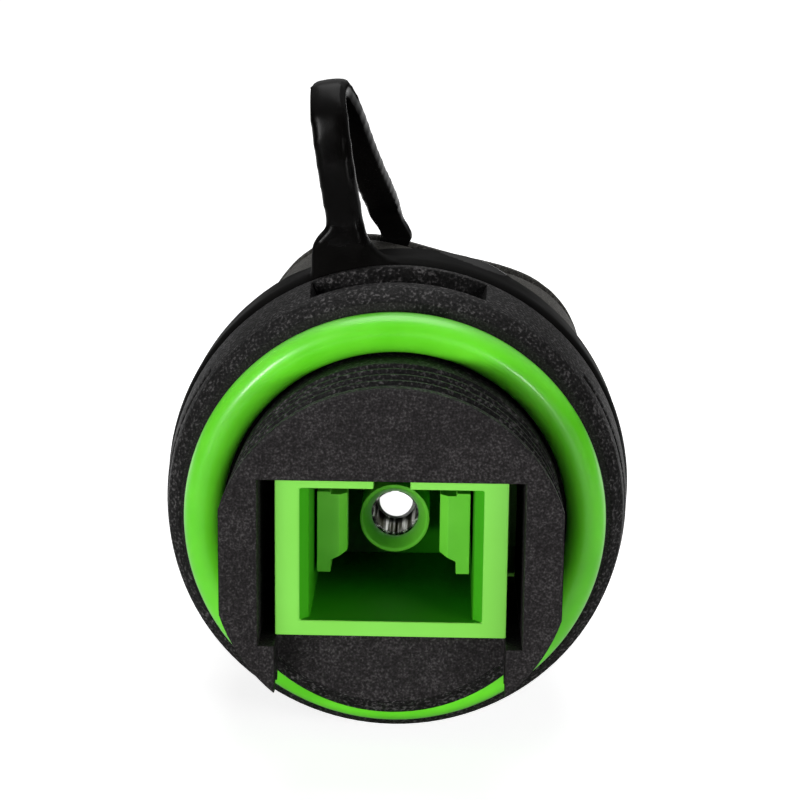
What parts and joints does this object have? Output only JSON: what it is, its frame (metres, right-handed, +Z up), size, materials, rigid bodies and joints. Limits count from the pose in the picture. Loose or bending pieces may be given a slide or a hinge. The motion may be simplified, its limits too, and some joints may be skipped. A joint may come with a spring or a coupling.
{
  "type": "outdoor fibre connector",
  "caption": "Sealed panel-mount fibre adapter with a green angled SC port, threaded double-D barrel, flange, seal ring and tethered screw cap.",
  "frame": {"origin": "on the connector's axis, in the plane of the flange's panel face", "axes": "-Y along the axis out of the green port and through the panel, +Y towards the dust cap, +Z up to the strap"},
  "size_m": [0.0286, 0.0329, 0.0393],
  "materials": {
    "housing_nylon": "grainy black nylon",
    "seal_silicone": "satin bright green silicone",
    "port_green": "satin lime green moulding",
    "sleeve_metal": "drawn and polished",
    "gasket_rubber": "matt black rubber",
    "plug_white": "smooth white",
    "tether_elastomer": "smooth black elastomer"
  },
  "bodies": {
    "housing": {"housing": "housing_nylon", "panel_seal": "seal_silicone", "port_shell_front": "port_green", "port_shell_rear": "port_green", "latch_insert_front": "port_green", "latch_insert_rear": "port_green", "alignment_sleeve": "sleeve_metal", "core_retainer": "housing_nylon"},
    "tether": {"cap_tether": "tether_elastomer"},
    "cap": {"dust_cap": "housing_nylon", "cap_gasket": "gasket_rubber", "sleeve_plug": "plug_white"}
  },
  "joints": [
    {"name": "cap_travel", "type": "slide", "parent": "housing", "child": "tether", "axis": [0, 1, 0], "range_m": [0, 0.0038], "deforming": ["cap_tether"]},
    {"name": "cap_turn", "type": "hinge", "parent": "tether", "child": "cap", "pos_m": [0, 0.0207, 0], "axis": [0, 1, 0], "range_deg": [0, 540]}
  ],
  "couplings": [
    {"joint": "cap_travel", "follows": "cap_turn", "m_per_rad": 0.00039789}
  ]
}
